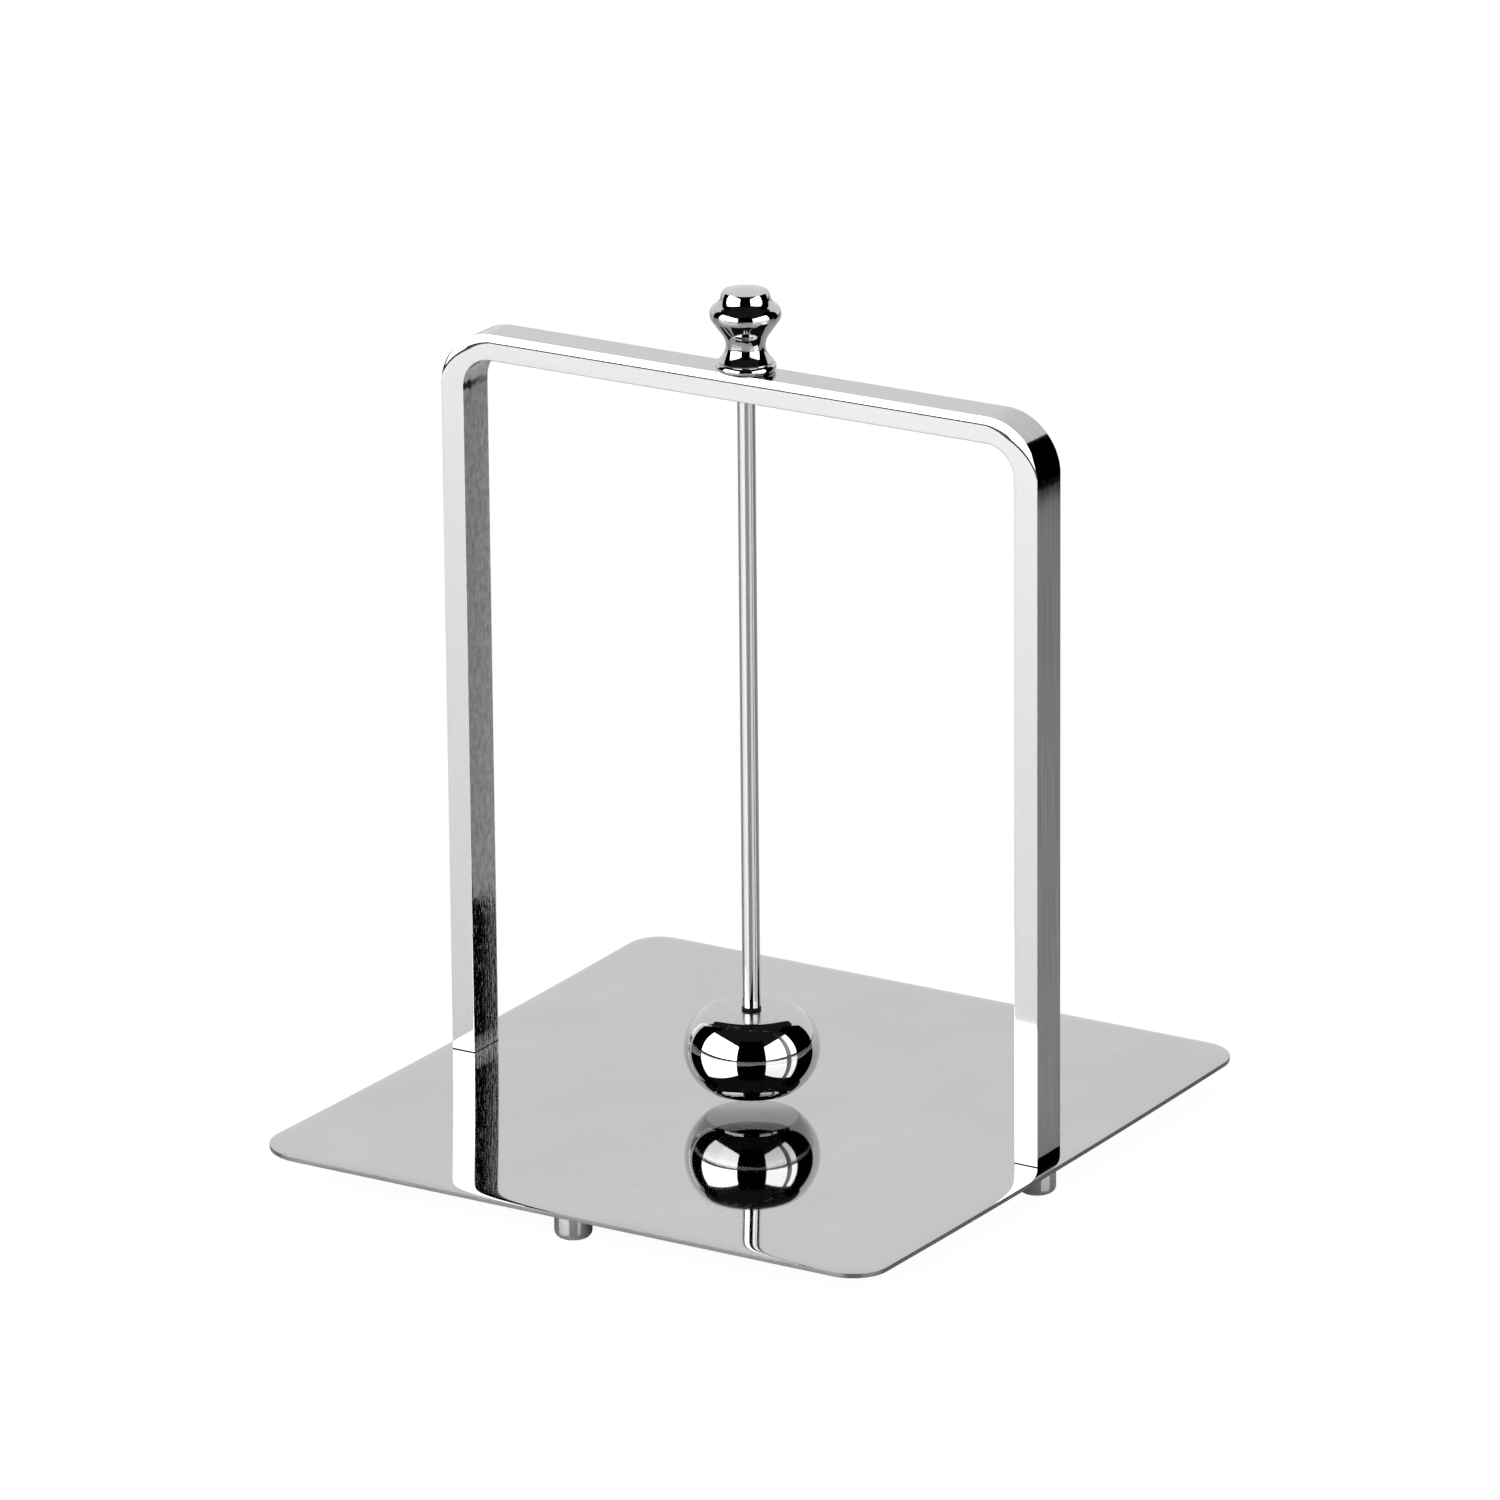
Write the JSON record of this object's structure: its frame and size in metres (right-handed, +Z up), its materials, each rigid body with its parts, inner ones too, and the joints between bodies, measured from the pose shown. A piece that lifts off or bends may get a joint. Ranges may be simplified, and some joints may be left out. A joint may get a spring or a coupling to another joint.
{
  "type": "napkin holder",
  "caption": "Square plate on small turned feet, with an arch of bent flat bar and a weight on a rod with a knob, which slides in the arch and presses on a stack of folded napkins.",
  "frame": {"origin": "centre of the plate's outline at the level of the table, under the feet", "axes": "+Z up along the rod, +X along the arch to the right leg, -Y to the front, where the napkins go in"},
  "size_m": [0.19, 0.199, 0.2341],
  "materials": {
    "polished_steel": "mirror polish",
    "plain_steel": "as turned",
    "rubber": "matt"
  },
  "bodies": {
    "stand": {"base_plate": "polished_steel", "arch": "polished_steel", "leg_stud_left": "plain_steel", "leg_stud_right": "plain_steel", "weld_stud_front": "plain_steel", "weld_stud_back": "plain_steel", "foot_left": "polished_steel", "foot_right": "polished_steel", "foot_front": "polished_steel", "foot_back": "polished_steel"},
    "press": {"rod": "polished_steel", "bumper_ring": "rubber", "weight": "polished_steel", "knob": "polished_steel"}
  },
  "joints": [
    {"name": "press_lift", "type": "slide", "parent": "stand", "child": "press", "axis": [0, 0, 1], "range_m": [0, 0.169]}
  ]
}
